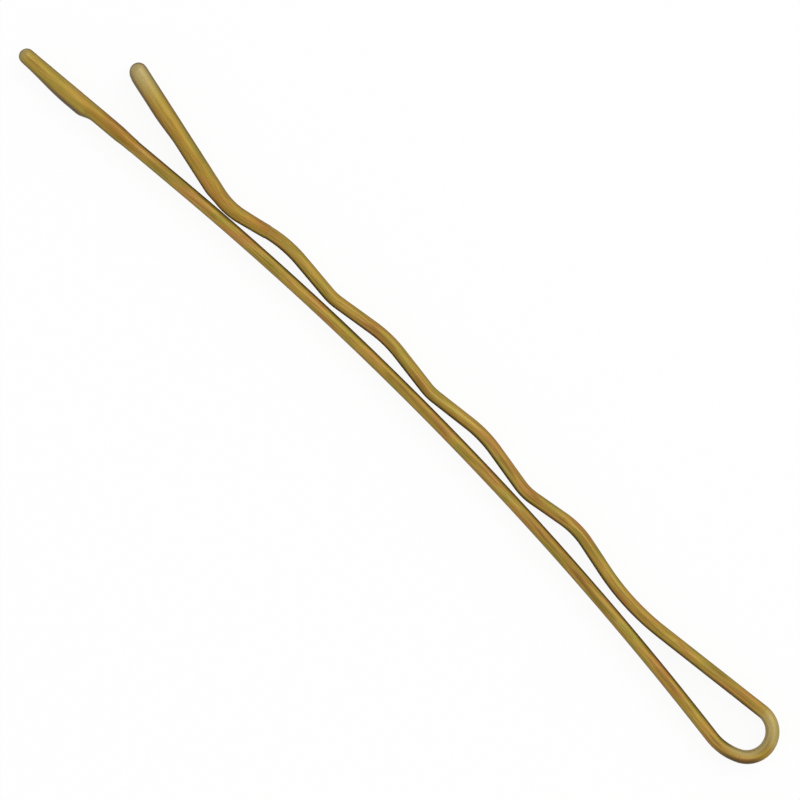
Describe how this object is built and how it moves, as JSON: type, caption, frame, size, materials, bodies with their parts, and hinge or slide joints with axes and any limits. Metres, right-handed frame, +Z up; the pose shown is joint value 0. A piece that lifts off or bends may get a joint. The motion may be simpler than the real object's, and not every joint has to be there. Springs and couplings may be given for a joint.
{
  "type": "bobby pin",
  "caption": "Spring hair pin bent from one flat wire, with a bowed straight leg, a crimped wavy leg that grips it, and a dipped coat on each end.",
  "frame": {"origin": "on the axis of the eye in the closed end, at mid height of the flat wire", "axes": "the pin lies on its side: +X from the mouth to the closed end, +Y from the straight leg to the wavy leg, +Z up along the axis of the eye"},
  "size_m": [0.0508, 0.0043, 0.0016],
  "materials": {
    "spring_wire": "satin lacquer, old gold, over spring steel",
    "tip_coat": "dipped resin coat, old gold, semi-gloss"
  },
  "bodies": {
    "straight_side": {"straight_leg": "spring_wire", "spring_bend": "spring_wire", "straight_leg_tip": "tip_coat"},
    "wavy_side": {"wavy_leg": "spring_wire", "wavy_leg_tip": "tip_coat"}
  },
  "joints": [
    {"name": "legs_open", "type": "hinge", "parent": "straight_side", "child": "wavy_side", "pos_m": [0, 0, 0], "axis": [0, 0, -1], "range_deg": [0, 30], "stiffness_Nm_per_rad": 0.16, "springref_deg": -5.16, "deforming": ["spring_bend"]}
  ]
}
